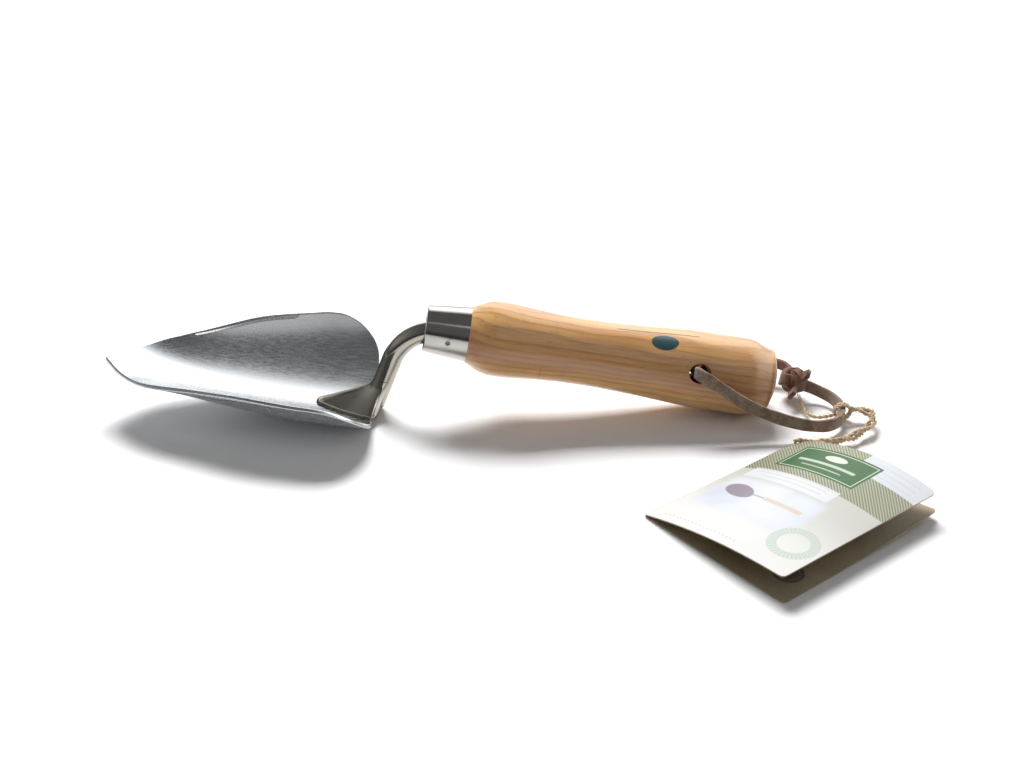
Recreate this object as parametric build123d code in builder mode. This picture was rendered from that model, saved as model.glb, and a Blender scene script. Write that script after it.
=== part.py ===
from build123d import *
from math import asin, cos, pi, radians, sin, sqrt, tan
import os

os.makedirs("parts", exist_ok=True)

# Hand trowel lying on its blade's keel and its handle's butt, with a leather thong and a swing tag.
# Millimetres, +Z up, +X from the blade's nose to the handle's butt, floor at z = 0.

# ---------------------------------------------------------------- driving dimensions
# blade
sheet = 1.8                # thickness of the steel sheet
heel_x = -33.0             # where the keel line starts to rise
keel_slope = 0.08          # rise of the keel line just in front of the heel
keel_curl = 0.00134        # extra rise per mm squared, towards the nose
nose_x = -139.3            # front of the rim
rear_x = -31.0             # rear edge on the centre line
# (x, inner cross radius, half width) of the dished sheet, from rear to nose
blade_stations = [
    (-24.0, 59.6, 40.6),
    (-33.0, 56.9, 42.0),
    (-42.0, 54.4, 42.4),
    (-54.5, 52.2, 41.8),
    (-70.5, 46.9, 38.0),
    (-83.0, 42.3, 34.0),
    (-100.0, 36.4, 27.0),
    (-110.0, 37.0, 23.4),
    (-119.5, 43.0, 19.6),
    (-127.0, 58.0, 17.6),
    (-134.0, 80.0, 16.4),
    (-142.0, 110.0, 15.6),
]
nose_curve = [(-136.4, 4.6), (-132.7, 9.2), (-127.2, 14.4), (-119.5, 19.6)]
lobe_curve = [(-43.0, 43.4), (-38.0, 42.2), (-33.2, 39.4), (-29.8, 35.4), (-28.2, 29.0)]
notch_curve = [(-28.6, 18.0), (-30.0, 9.0)]

# handle axis
pitch = 9.7                # degrees, the handle slopes down towards its butt
collar = Vector(11.0, 0, 35.5)           # centre of the ferrule's rear end
handle_length = 128.2      # from the ferrule's rear end to the butt
# (distance along the axis, radius) of the turned grip
grip_curve = [
    (0.0, 11.7),
    (4.0, 13.6),
    (9.0, 15.3),
    (15.0, 15.5),
    (28.0, 14.5),
    (47.0, 13.7),
    (65.0, 14.2),
    (80.0, 15.1),
    (97.0, 16.0),
    (111.0, 16.1),
    (120.0, 15.2),
    (125.8, 13.0),
    (128.2, 9.0),
]
hole_distance = 95.4       # of the hanging hole, from the ferrule's rear end
hole_radius = 3.9
hole_roll = 21.0           # degrees, the near mouth is turned up

# ferrule, pin and neck
ferrule_length = 18.0
ferrule_front_radius = 9.65
ferrule_rear_radius = 11.45
ferrule_wall = 1.0
lip = 0.6
neck_hole_radius = 6.9     # in the ferrule's front, clear of the cranked rod
bore_start = -ferrule_length + lip + ferrule_wall
spigot_start = bore_start + 1.0          # the wood stops short of the ferrule's front
pin_radius = 1.1
pin_distance = -8.2
pin_dimple = 0.35
rod_radius = 4.25
tang_length = 36.0         # inside the grip
crank = Vector(-14.6, 0, 39.97)          # where the two straight runs of the rod would meet
crank_radius = 21.0
rod_foot = Vector(-31.7, 0, -4.0)         # the rod is trimmed off at the blade
bead_radius = 0.95

# leather thong, 5 by 2 mm lace drawn as a round of about equal section
lace_radius = 2.0
exit_radius = 4.5
knot_centre = Vector(148.5, 9.5, 8.4)
knot_radii = (6.0, 6.4, 5.9)

# twine and tag
twine_radius = 1.6
tail_radius = 0.9
hitch_centre = Vector(166.4, -9.4, 4.4)
hitch_bore = 2.35
hitch_wrap = 0.75
tag_corner = Vector(145.0, -28.6, 0)     # end of the fold beside the twine
tag_turn = 39.2            # degrees, direction of the fold in plan
tag_length = 84.5
tag_width = 69.5
card = 0.5
fold_gap = 0.4
leaf_rise = 9.2            # height of the front leaf's free edge above the fold
leaf_sag = 6.2             # bow of the front leaf
leaf_inset = 1.6
corner_round = 2.0
fold_notch = 4.6


# ---------------------------------------------------------------- shared geometry
def keel(x):
    """Height of the blade's underside on the centre line."""
    run = heel_x - x
    return keel_slope * max(run, 0.0) + keel_curl * run * run


def station_radius(x):
    """Inner cross radius at x, between the listed stations."""
    rows = sorted(blade_stations)
    for (x0, r0, _), (x1, r1, _) in zip(rows, rows[1:]):
        if x0 <= x <= x1:
            return r0 + (r1 - r0) * (x - x0) / (x1 - x0)
    return rows[-1][1]


def inside_height(x, y):
    """Height of the blade's inner face."""
    radius = station_radius(x)
    return keel(x) + sheet + radius - sqrt(radius * radius - y * y)


def band_plane(x):
    return Plane(origin=(x, 0, keel(x)), x_dir=(0, 1, 0), z_dir=(1, 0, 0))


axis_dir = Vector(cos(radians(pitch)), 0, -sin(radians(pitch)))
handle_plane = Plane(origin=collar, x_dir=axis_dir, z_dir=(0, -1, 0))
handle_axis = Axis(collar, axis_dir)
hole_centre = collar + axis_dir * hole_distance
hole_dir = Vector(0, -cos(radians(hole_roll)), sin(radians(hole_roll)))
pin_centre = collar + axis_dir * pin_distance
spine_dir = Vector(-cos(radians(tag_turn)), -sin(radians(tag_turn)), 0)
tag_plane = Plane(origin=tag_corner, x_dir=spine_dir, z_dir=(0, 0, 1))
across_dir = tag_plane.y_dir


def ferrule_radius(distance):
    """Outer radius of the ferrule at a distance along the axis, 0 at its rear."""
    share = (distance + ferrule_length) / ferrule_length
    return ferrule_front_radius + (ferrule_rear_radius - ferrule_front_radius) * share


def cord_radii(points, exact):
    """Arc radius at each corner: 0.45 of the shorter run over tan(half turn), or the exact one."""
    radii = []
    for k in range(1, len(points) - 1):
        before = points[k] - points[k - 1]
        after = points[k + 1] - points[k]
        half_turn = radians(before.get_angle(after)) / 2
        natural = 0.45 * min(before.length, after.length) / tan(half_turn)
        radii.append(exact.get(k, natural))
    return radii


def report_cord(name, points, radii, solid, radius):
    turns = [(b - a).get_angle(c - b) for a, b, c in zip(points, points[1:], points[2:])]
    runs = [(b - a).length for a, b in zip(points, points[1:])]
    length = solid.volume / (pi * radius * radius)
    print(name, "runs", [round(r, 1) for r in runs], "turns", [round(t) for t in turns],
          "radii", [round(r, 1) for r in radii], "length by volume", round(length, 1))


# ---------------------------------------------------------------- blade
with BuildPart() as blade:
    for x, radius, half_width in blade_stations:
        spread = asin(half_width / radius)
        outer = radius + sheet
        with BuildSketch(band_plane(x)):
            with BuildLine():
                inner_arc = ThreePointArc(
                    (-radius * sin(spread), outer - radius * cos(spread)),
                    (0, sheet),
                    (radius * sin(spread), outer - radius * cos(spread)),
                )
                outer_arc = ThreePointArc(
                    (-outer * sin(spread), outer - outer * cos(spread)),
                    (0, 0),
                    (outer * sin(spread), outer - outer * cos(spread)),
                )
                Line(inner_arc @ 0, outer_arc @ 0)
                Line(inner_arc @ 1, outer_arc @ 1)
            make_face()
    loft()
    with BuildSketch(Plane.XY) as heart:
        with BuildLine():
            nose = Spline((nose_x, 0), *nose_curve, tangents=[(0, 1), (1, 0.5)])
            lobe = Spline(*lobe_curve, *notch_curve, (rear_x, 0), tangents=[(1, -0.25), (0, -1)])
            Polyline(nose @ 1, (-112.0, 48.0), (-50.0, 52.0), lobe @ 0)
            mirror(about=Plane.XZ)
        make_face()
    extrude(amount=60, both=True, mode=Mode.INTERSECT)
blade.part.label = "blade"

# ---------------------------------------------------------------- neck, with its fish-tail foot
# Everything below the blade's inner face, to trim what stands on it.
with BuildPart() as under_blade:
    for x, radius, half_width in blade_stations:
        spread = asin(half_width / radius)
        edge_y = radius * sin(spread)
        edge_z = radius + sheet - radius * cos(spread)
        with BuildSketch(band_plane(x)):
            with BuildLine():
                ThreePointArc((-edge_y, edge_z), (0, sheet), (edge_y, edge_z))
                Polyline((edge_y, edge_z), (edge_y, -60), (-edge_y, -60), (-edge_y, edge_z))
            make_face()
    loft()

# (height, front x, corner x, corner y, rear x) of the foot's level sections
foot_levels = [
    (-1.0, -55.6, -30.6, 17.0, -28.2),
    (4.9, -49.4, -29.8, 13.8, -26.8),
    (8.0, -39.4, -28.2, 7.8, -24.6),
    (11.6, -32.6, -26.4, 5.6, -22.2),
]
with BuildPart() as neck:
    with BuildLine() as rod_path:
        FilletPolyline(collar + axis_dir * tang_length, crank, rod_foot, radius=crank_radius)
    with BuildSketch(Plane(origin=rod_path.line @ 0, z_dir=rod_path.line % 0)):
        Circle(rod_radius)
    sweep()
    for level, front, corner_x, corner_y, rear in foot_levels:
        with BuildSketch(Plane.XY.offset(level)):
            with BuildLine():
                Polyline(
                    (front, 0),
                    (front + 0.52 * (corner_x - front), 0.40 * corner_y),
                    (corner_x, corner_y),
                    (rear, 0.55 * corner_y),
                    (rear, -0.55 * corner_y),
                    (corner_x, -corner_y),
                    (front + 0.52 * (corner_x - front), -0.40 * corner_y),
                    close=True,
                )
            make_face()
    loft(ruled=True)
    add(under_blade.part, mode=Mode.SUBTRACT)
    with Locations(Plane(origin=pin_centre, z_dir=(0, -1, 0))):
        Cylinder(pin_radius, 3 * ferrule_rear_radius, mode=Mode.SUBTRACT)
neck.part.label = "neck"

# ---------------------------------------------------------------- weld bead round the foot
bead_plan = [(-29.0, 15.8), (-36.5, 11.5), (-45.3, 6.2), (-52.4, 1.7)]
bead_points = [Vector(x, y, inside_height(x, y) + 0.25) for x, y in bead_plan]
bead_points += [Vector(x, -y, inside_height(x, y) + 0.25) for x, y in reversed(bead_plan)]
bead_radii = cord_radii(bead_points, {})
with BuildPart() as weld_bead:
    with BuildLine() as bead_path:
        FilletPolyline(*bead_points, radius=bead_radii)
    with BuildSketch(Plane(origin=bead_path.line @ 0, z_dir=bead_path.line % 0)):
        Circle(bead_radius)
    sweep()
    add(blade.part, mode=Mode.SUBTRACT)
    add(neck.part, mode=Mode.SUBTRACT)
weld_bead.part.label = "weld_bead"

# ---------------------------------------------------------------- ferrule and its pin
with BuildPart() as ferrule:
    with BuildSketch(handle_plane):
        with BuildLine():
            Polyline(
                (-ferrule_length, neck_hole_radius),
                (-ferrule_length, ferrule_front_radius),
                (0, ferrule_rear_radius),
                (0, ferrule_rear_radius - ferrule_wall),
                (bore_start, ferrule_radius(bore_start) - ferrule_wall),
                (-ferrule_length + ferrule_wall, neck_hole_radius),
                close=True,
            )
        make_face()
    revolve(axis=handle_axis)
    front_rim = ferrule.edges().filter_by(GeomType.CIRCLE).sort_by(Axis.X)[:4].sort_by(SortBy.RADIUS)[-1]
    fillet(front_rim, radius=lip)
    with Locations(Plane(origin=pin_centre, z_dir=(0, -1, 0))):
        Cylinder(pin_radius, 3 * ferrule_rear_radius, mode=Mode.SUBTRACT)
ferrule.part.label = "ferrule"

with BuildPart() as ferrule_pin:
    with Locations(Plane(origin=pin_centre, z_dir=(0, -1, 0))):
        Cylinder(pin_radius, 2 * ferrule_radius(pin_distance))
    for end_face in ferrule_pin.faces().filter_by(Axis.Y):
        with BuildSketch(Plane(end_face)):
            Circle(0.6 * pin_radius)
        extrude(amount=-pin_dimple, mode=Mode.SUBTRACT)
ferrule_pin.part.label = "ferrule_pin"

# ---------------------------------------------------------------- handle
with BuildPart() as handle:
    with BuildSketch(handle_plane):
        with BuildLine():
            grip = Spline(*grip_curve, tangents=[(1, 0.25), (0.35, -1)])
            Polyline(
                grip @ 1,
                (handle_length, 0),
                (spigot_start, 0),
                (spigot_start, ferrule_radius(spigot_start) - ferrule_wall),
                (0, ferrule_rear_radius - ferrule_wall),
                grip @ 0,
            )
        make_face()
    revolve(axis=handle_axis)
    add(neck.part, mode=Mode.SUBTRACT)
    with Locations(Plane(origin=hole_centre, z_dir=hole_dir)):
        Cylinder(hole_radius, 60, mode=Mode.SUBTRACT)
    with Locations(Plane(origin=pin_centre, z_dir=(0, -1, 0))):
        Cylinder(pin_radius, 3 * ferrule_rear_radius, mode=Mode.SUBTRACT)
handle.part.label = "handle"

# ---------------------------------------------------------------- leather thong
# Directions in which the two legs leave the hole's mouths.
near_lead = Vector(0.857, -0.185, -0.481)
far_lead = Vector(1.0, 0.0, 0.0)

near_route = [
    hole_centre,
    hole_centre + hole_dir * 6.2 - near_lead * 0.5,
    hole_centre + hole_dir * 12.6 - near_lead * 0.6,
    hole_centre + hole_dir * 18.9 - near_lead * 1.2,
    hole_centre + hole_dir * 19.2 + near_lead * 7.0,
    Vector(124.0, -22.2, 14.4),
    Vector(140.5, -24.8, 8.4),
    Vector(156.5, -23.8, 4.8),
    Vector(166.3, -15.6, 4.4),
    Vector(166.6, -1.6, 4.4),
    Vector(158.2, 8.6, 5.2),
    knot_centre,
]
near_exact = {3: exit_radius}
near_radii = cord_radii(near_route, near_exact)
with BuildPart() as thong_near:
    with BuildLine() as near_path:
        FilletPolyline(*near_route, radius=near_radii)
    with BuildSketch(Plane(origin=near_path.line @ 0, z_dir=near_path.line % 0)):
        Circle(lace_radius)
    sweep()
report_cord("thong_near", near_route, near_radii, thong_near.part, lace_radius)

far_route = [
    hole_centre,
    hole_centre - hole_dir * 6.2 + near_lead * 0.5,
    hole_centre - hole_dir * 12.6 - far_lead * 0.2,
    hole_centre - hole_dir * 18.9 - far_lead * 1.2,
    hole_centre - hole_dir * 19.6 + far_lead * 7.0,
    Vector(125.5, 23.2, 10.9),
    Vector(139.5, 25.8, 9.6),
    Vector(149.5, 20.4, 8.9),
    knot_centre,
]
far_exact = {3: exit_radius}
far_radii = cord_radii(far_route, far_exact)
with BuildPart() as thong_far:
    with BuildLine() as far_path:
        FilletPolyline(*far_route, radius=far_radii)
    with BuildSketch(Plane(origin=far_path.line @ 0, z_dir=far_path.line % 0)):
        Circle(lace_radius)
    sweep()
report_cord("thong_far", far_route, far_radii, thong_far.part, lace_radius)

# The overhand knot, as the closed outer shape of its turns.
with BuildPart() as thong_knot:
    Sphere(1)
    scale(by=knot_radii)
thong_knot.part = thong_knot.part.moved(Location(knot_centre))
thong_near.part = thong_near.part - thong_knot.part
thong_far.part = thong_far.part - thong_knot.part
thong_knot.part.label = "thong_knot"
thong_near.part.label = "thong_near"
thong_far.part.label = "thong_far"

# Two short cut ends standing out of the knot.
near_end = [knot_centre, knot_centre + Vector(-1.8, -9.2, -1.8)]
top_end = [knot_centre, knot_centre + Vector(5.6, -3.4, 5.4)]
with BuildPart() as thong_ends:
    for start, stop in (near_end, top_end):
        with BuildSketch(Plane(origin=start, z_dir=stop - start)):
            Circle(lace_radius)
        extrude(amount=(stop - start).length)
    add(thong_knot.part, mode=Mode.SUBTRACT)
thong_ends.part.label = "thong_ends"

# ---------------------------------------------------------------- twine: hitch, loop and loose end
with BuildPart() as twine_hitch:
    with BuildSketch(Plane.XY):
        for wrap in (-1, 0, 1):
            with Locations((hitch_bore + hitch_wrap, 1.3 * hitch_wrap * wrap)):
                Circle(hitch_wrap)
    revolve(axis=Axis.Y)
twine_hitch.part = twine_hitch.part.moved(Location(hitch_centre))
twine_hitch.part.label = "twine_hitch"

twine_route = [
    tag_corner + spine_dir * 3.2 + across_dir * 1.6 + Vector(0, 0, card + twine_radius + 0.05),
    Vector(148.2, -29.6, 2.3),
    Vector(155.4, -32.0, 2.6),
    Vector(164.0, -30.2, 3.0),
    Vector(172.0, -25.0, 3.6),
    Vector(179.2, -17.0, 4.6),
    Vector(176.4, -8.8, 5.4),
    Vector(169.4, -9.6, 5.4),
]
twine_radii = cord_radii(twine_route, {})
with BuildPart() as tag_twine:
    with BuildLine() as twine_path:
        FilletPolyline(*twine_route, radius=twine_radii)
    with BuildSketch(Plane(origin=twine_path.line @ 0, z_dir=twine_path.line % 0)):
        Circle(twine_radius)
    sweep()
report_cord("tag_twine", twine_route, twine_radii, tag_twine.part, twine_radius)
tag_twine.part.label = "tag_twine"

tail_route = [
    Vector(163.6, -10.2, 3.4),
    Vector(157.8, -11.6, 2.2),
    Vector(152.6, -8.2, 1.9),
    Vector(151.2, -2.4, 2.5),
    Vector(150.6, 1.6, 4.4),
]
tail_radii = cord_radii(tail_route, {})
with BuildPart() as twine_tail:
    with BuildLine() as tail_path:
        FilletPolyline(*tail_route, radius=tail_radii)
    with BuildSketch(Plane(origin=tail_path.line @ 0, z_dir=tail_path.line % 0)):
        Circle(tail_radius)
    sweep()
report_cord("twine_tail", tail_route, tail_radii, twine_tail.part, tail_radius)
twine_tail.part.label = "twine_tail"

# ---------------------------------------------------------------- tag: a folded card
with BuildPart() as tag_back_leaf:
    with BuildSketch(tag_plane) as back_outline:
        Rectangle(tag_length, tag_width, align=(Align.MIN, Align.MIN))
        fillet(back_outline.vertices().group_by(Axis.Y)[-1], radius=corner_round)
    extrude(amount=card)
tag_back_leaf.part.label = "tag_back_leaf"

fold_height = card + fold_gap
leaf_plane = Plane(origin=tag_corner, x_dir=across_dir, z_dir=spine_dir)
with BuildPart() as tag_front_leaf:
    with BuildSketch(leaf_plane):
        free_edge = tag_width - leaf_inset
        with BuildLine():
            lower = SagittaArc((0, fold_height), (free_edge, fold_height + leaf_rise), leaf_sag)
            upper = SagittaArc((0, fold_height + card), (free_edge, fold_height + leaf_rise + card), leaf_sag)
            Line(lower @ 0, upper @ 0)
            Line(lower @ 1, upper @ 1)
        make_face()
    extrude(amount=tag_length)
    with Locations(Plane(origin=tag_corner, z_dir=(0, 0, 1))):
        Cylinder(fold_notch, 20, mode=Mode.SUBTRACT)
tag_front_leaf.part.label = "tag_front_leaf"

# ---------------------------------------------------------------- export
nodes = [
    blade,
    neck,
    weld_bead,
    ferrule,
    ferrule_pin,
    handle,
    thong_near,
    thong_far,
    thong_knot,
    thong_ends,
    twine_hitch,
    tag_twine,
    twine_tail,
    tag_back_leaf,
    tag_front_leaf,
]
for node in nodes:
    export_step(node.part, f"parts/{node.part.label}.step")
    box = node.part.bounding_box()
    print(node.part.label, "solids", len(node.part.solids()), "valid", node.part.is_valid,
          "volume", round(node.part.volume, 1),
          [round(v, 1) for v in (*box.min, *box.max)])
print("hole centre", [round(v, 2) for v in hole_centre], "direction", [round(v, 4) for v in hole_dir])
print("hitch centre", [round(v, 2) for v in hitch_centre])
print("fold line from", [round(v, 2) for v in tag_corner], "along", [round(v, 4) for v in spine_dir])
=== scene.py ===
import math
import random

import bpy
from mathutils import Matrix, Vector


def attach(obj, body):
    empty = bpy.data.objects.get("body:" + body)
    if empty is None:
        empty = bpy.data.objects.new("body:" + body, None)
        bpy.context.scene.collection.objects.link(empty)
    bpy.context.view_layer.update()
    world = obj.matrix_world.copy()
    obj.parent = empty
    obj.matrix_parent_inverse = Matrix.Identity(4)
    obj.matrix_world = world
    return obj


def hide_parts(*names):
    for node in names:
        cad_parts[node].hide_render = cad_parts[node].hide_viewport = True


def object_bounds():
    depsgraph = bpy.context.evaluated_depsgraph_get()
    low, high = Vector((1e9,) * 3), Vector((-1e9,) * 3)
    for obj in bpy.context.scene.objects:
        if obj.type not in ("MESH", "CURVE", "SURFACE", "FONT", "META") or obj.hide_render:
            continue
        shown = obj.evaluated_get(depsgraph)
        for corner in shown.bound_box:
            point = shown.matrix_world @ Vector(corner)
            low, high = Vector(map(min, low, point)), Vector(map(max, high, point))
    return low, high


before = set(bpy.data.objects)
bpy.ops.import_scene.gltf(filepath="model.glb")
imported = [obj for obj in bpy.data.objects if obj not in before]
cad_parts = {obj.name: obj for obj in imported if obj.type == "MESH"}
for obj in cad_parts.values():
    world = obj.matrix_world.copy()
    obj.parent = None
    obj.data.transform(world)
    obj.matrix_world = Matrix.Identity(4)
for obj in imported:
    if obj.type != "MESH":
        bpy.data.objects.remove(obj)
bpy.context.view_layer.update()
MM = 0.001
random.seed(11)

# ------------------------------------------------------------------ dimensions, as in part.py, mm
SHEET = 1.8
HEEL_X = -33.0
KEEL_SLOPE = 0.08
KEEL_CURL = 0.00134
HEEL_EASE = 5.0            # softens the start of the keel's rise
CROSS_RADII = [
    (-142.0, 110.0), (-134.0, 80.0), (-127.0, 58.0), (-119.5, 43.0), (-110.0, 37.0), (-100.0, 36.4),
    (-83.0, 42.3), (-70.5, 46.9), (-54.5, 52.2), (-42.0, 54.4), (-33.0, 56.9), (-24.0, 59.6),
]
RIM = [
    (-139.3, 0), (-136.4, 4.6), (-132.7, 9.2), (-127.2, 14.4), (-119.5, 19.6), (-110.0, 23.4),
    (-100.0, 27.0), (-83.0, 34.0), (-70.5, 38.0), (-54.5, 41.8), (-46.5, 42.8), (-41.5, 42.5),
    (-37.0, 41.2), (-33.2, 38.8), (-30.0, 34.9), (-28.4, 29.0), (-28.7, 18.0), (-30.0, 9.0), (-31.0, 0),
]
COLLAR = Vector((11.0, 0, 35.5))
PITCH = math.radians(9.7)
AXIS = Vector((math.cos(PITCH), 0, -math.sin(PITCH)))
UP = Vector((math.sin(PITCH), 0, math.cos(PITCH)))
HOLE_REACH = 95.4           # from the collar along the grip
HOLE_CENTRE = COLLAR + AXIS * HOLE_REACH
HOLE_ROLL = math.radians(21.0)
HOLE = Vector((0, -math.cos(HOLE_ROLL), math.sin(HOLE_ROLL)))
ROD_RADIUS = 4.25
CRANK = Vector((-14.6, 0, 39.97))
CRANK_RADIUS = 21.0
ROD_FOOT = Vector((-31.7, 0, -4.0))
KNOT = Vector((148.5, 9.5, 8.4))
HITCH = Vector((166.4, -9.4, 4.4))
TAG_CORNER = Vector((145.0, -28.6, 0))
TAG_TURN = math.radians(39.2)
SPINE = Vector((-math.cos(TAG_TURN), -math.sin(TAG_TURN), 0))
ACROSS = Vector((math.sin(TAG_TURN), -math.cos(TAG_TURN), 0))
TAG_LENGTH = 84.5
TAG_WIDTH = 69.5
CARD = 0.5


# ------------------------------------------------------------------ small geometry helpers
def spline_through(points, steps, closed=False):
    """Catmull-Rom curve through points, steps samples per span."""
    pts = [Vector(p) for p in points]
    count = len(pts)
    out = []
    spans = count if closed else count - 1
    for k in range(spans):
        if closed:
            p0, p1, p2, p3 = (pts[(k + j) % count] for j in (-1, 0, 1, 2))
        else:
            p1, p2 = pts[k], pts[k + 1]
            p0 = pts[k - 1] if k else p1 * 2 - p2
            p3 = pts[k + 2] if k + 2 < count else p2 * 2 - p1
        for s in range(steps):
            t = s / steps
            out.append(0.5 * (2 * p1 + (p2 - p0) * t + (2 * p0 - 5 * p1 + 4 * p2 - p3) * t * t
                              + (3 * p1 - p0 - 3 * p2 + p3) * t * t * t))
    if not closed:
        out.append(pts[-1].copy())
    return out


def new_piece(name, verts, faces, body, material, smooth=True):
    mesh = bpy.data.meshes.new(name)
    mesh.from_pydata([tuple(Vector(v) * MM) for v in verts], [], faces)
    mesh.validate()
    if smooth:
        mesh.polygons.foreach_set("use_smooth", [True] * len(mesh.polygons))
    piece = bpy.data.objects.new(name, mesh)
    bpy.context.scene.collection.objects.link(piece)
    mesh.materials.append(material)
    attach(piece, body)
    return piece


def nurbs_line(points, samples=24):
    """Points along the order 3 NURBS line that has these control points, in mm."""
    data = bpy.data.curves.new("route", "CURVE")
    data.dimensions = "3D"
    data.resolution_u = samples
    spline = data.splines.new("NURBS")
    spline.points.add(len(points) - 1)
    for control, p in zip(spline.points, points):
        control.co = (p[0], p[1], p[2], 1)
    spline.order_u = 3
    spline.use_endpoint_u = True
    holder = bpy.data.objects.new("route", data)
    bpy.context.scene.collection.objects.link(holder)
    bpy.context.view_layer.update()
    mesh = bpy.data.meshes.new_from_object(holder)
    line = [v.co.copy() for v in mesh.vertices]
    bpy.data.objects.remove(holder)
    bpy.data.curves.remove(data)
    bpy.data.meshes.remove(mesh)
    return line


def resample(line, step):
    """The same line with points a step apart."""
    out = [line[0].copy()]
    carry = 0.0
    for a, b in zip(line, line[1:]):
        run = (b - a).length
        at = step - carry
        while at <= run:
            out.append(a.lerp(b, at / run))
            at += step
        carry = (carry + run) % step
    if (out[-1] - line[-1]).length > 0.25 * step:
        out.append(line[-1].copy())
    return out


def tangents(line):
    last = len(line) - 1
    return [(line[min(k + 1, last)] - line[max(k - 1, 0)]).normalized() for k in range(len(line))]


def carried_frames(line):
    """A side direction at each point, carried along without twist."""
    dirs = tangents(line)
    side = dirs[0].orthogonal().normalized()
    sides = []
    for d in dirs:
        side = (side - d * side.dot(d)).normalized()
        sides.append(side)
    return dirs, sides


def skin(rings, base=0):
    """Faces over rings of equal count, closed at both ends."""
    faces = []
    n = len(rings[0])
    for r in range(len(rings) - 1):
        for k in range(n):
            a = base + r * n + k
            b = base + r * n + (k + 1) % n
            faces.append((a, b, b + n, a + n))
    faces.append(tuple(base + k for k in reversed(range(n))))
    faces.append(tuple(base + (len(rings) - 1) * n + k for k in range(n)))
    return faces


def strap_profile(half_width, half_thick, corner, steps=4):
    """Rounded rectangle, (width, thickness) pairs."""
    out = []
    for cx, cy, start in ((1, 1, 0), (-1, 1, 90), (-1, -1, 180), (1, -1, 270)):
        for s in range(steps + 1):
            a = math.radians(start + 90 * s / steps)
            out.append((cx * (half_width - corner) + corner * math.cos(a),
                        cy * (half_thick - corner) + corner * math.sin(a)))
    return out


def strap_rings(line, flat, half_width, half_thick, waviness, seed):
    """Rings of a flat lace along line; flat is about where its width points."""
    dirs = tangents(line)
    corner = min(0.55, half_thick * 0.6)
    rings = []
    for k, (p, d) in enumerate(zip(line, dirs)):
        wide = Vector(flat)
        wide = (wide - d * wide.dot(d)).normalized()
        thick = d.cross(wide)
        swell = 1 + waviness * math.sin(k * 0.37 + seed) * math.sin(k * 0.11 + 2 * seed)
        rings.append([p + wide * (w * swell) + thick * t
                      for w, t in strap_profile(half_width, half_thick, corner)])
    return rings


def tube_rings(line, radius, sides=10):
    dirs, across = carried_frames(line)
    rings = []
    for k, (p, d, s) in enumerate(zip(line, dirs, across)):
        t = d.cross(s)
        r = radius(k) if callable(radius) else radius
        rings.append([p + (s * math.cos(2 * math.pi * j / sides) + t * math.sin(2 * math.pi * j / sides)) * r
                      for j in range(sides)])
    return rings


def ply_line(line, offset, pitch, phase, wobble=0.0, step=0.22):
    """A helix round line."""
    fine = resample(line, step)
    dirs, across = carried_frames(fine)
    out = []
    for k, (p, d, s) in enumerate(zip(fine, dirs, across)):
        angle = 2 * math.pi * k * step / pitch + phase
        reach = offset * (1 + wobble * math.sin(k * 0.21 + phase * 3))
        out.append(p + (s * math.cos(angle) + d.cross(s) * math.sin(angle)) * reach)
    return out


def joined(name, tubes, body, material):
    verts = []
    faces = []
    for rings in tubes:
        faces += skin(rings, base=len(verts))
        for ring in rings:
            verts += ring
    return new_piece(name, verts, faces, body, material)


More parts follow.
